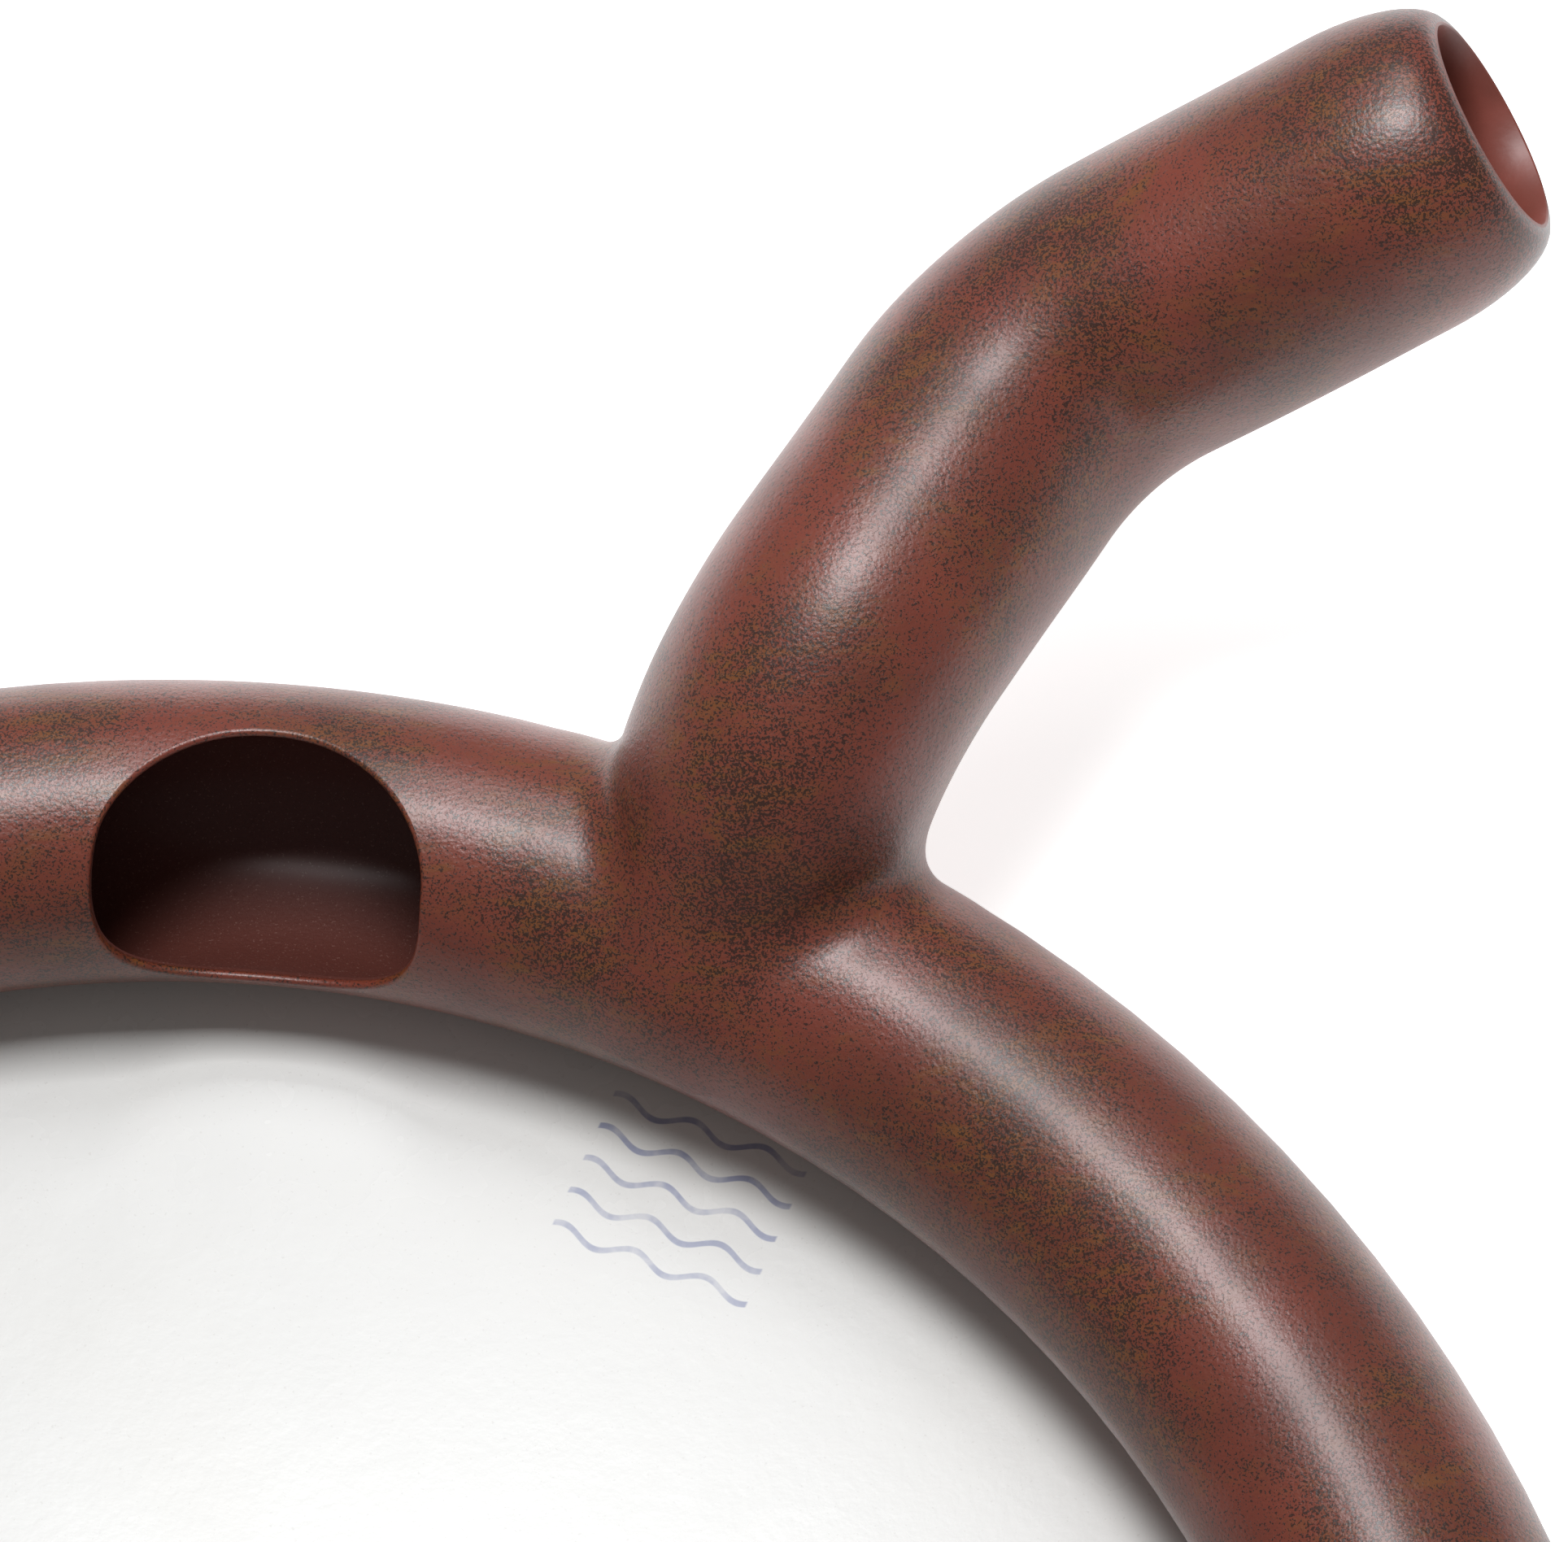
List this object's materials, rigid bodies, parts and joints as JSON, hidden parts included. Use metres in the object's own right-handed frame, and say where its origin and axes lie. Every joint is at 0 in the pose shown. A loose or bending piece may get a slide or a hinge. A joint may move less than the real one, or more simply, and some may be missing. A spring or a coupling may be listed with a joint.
{
  "type": "ring didgeridoo frame drum",
  "caption": "Bodhran whose round frame is a hollow bent pipe with a sound hole and a bent blowing neck, with a glued skin head.",
  "frame": {"origin": "centre of the skin's playing face, which the drum lies on", "axes": "+Z out of the open back, along the ring's axis; +Y towards the side of the ring with the sound hole and the neck; the neck leans towards +X"},
  "size_m": [0.4588, 0.5254, 0.126],
  "materials": {
    "painted_pipe": "satin, sponged and speckled",
    "inner_plastic": "matt",
    "skin": "smooth, translucent",
    "band": "woven"
  },
  "bodies": {
    "root": {"ring_pipe": "painted_pipe", "neck_pipe": "painted_pipe", "filler_left": "painted_pipe", "filler_right": "painted_pipe", "air_dam": "inner_plastic", "ring_coupling": "inner_plastic", "drumhead": "skin", "skin_band": "band"}
  },
  "joints": []
}
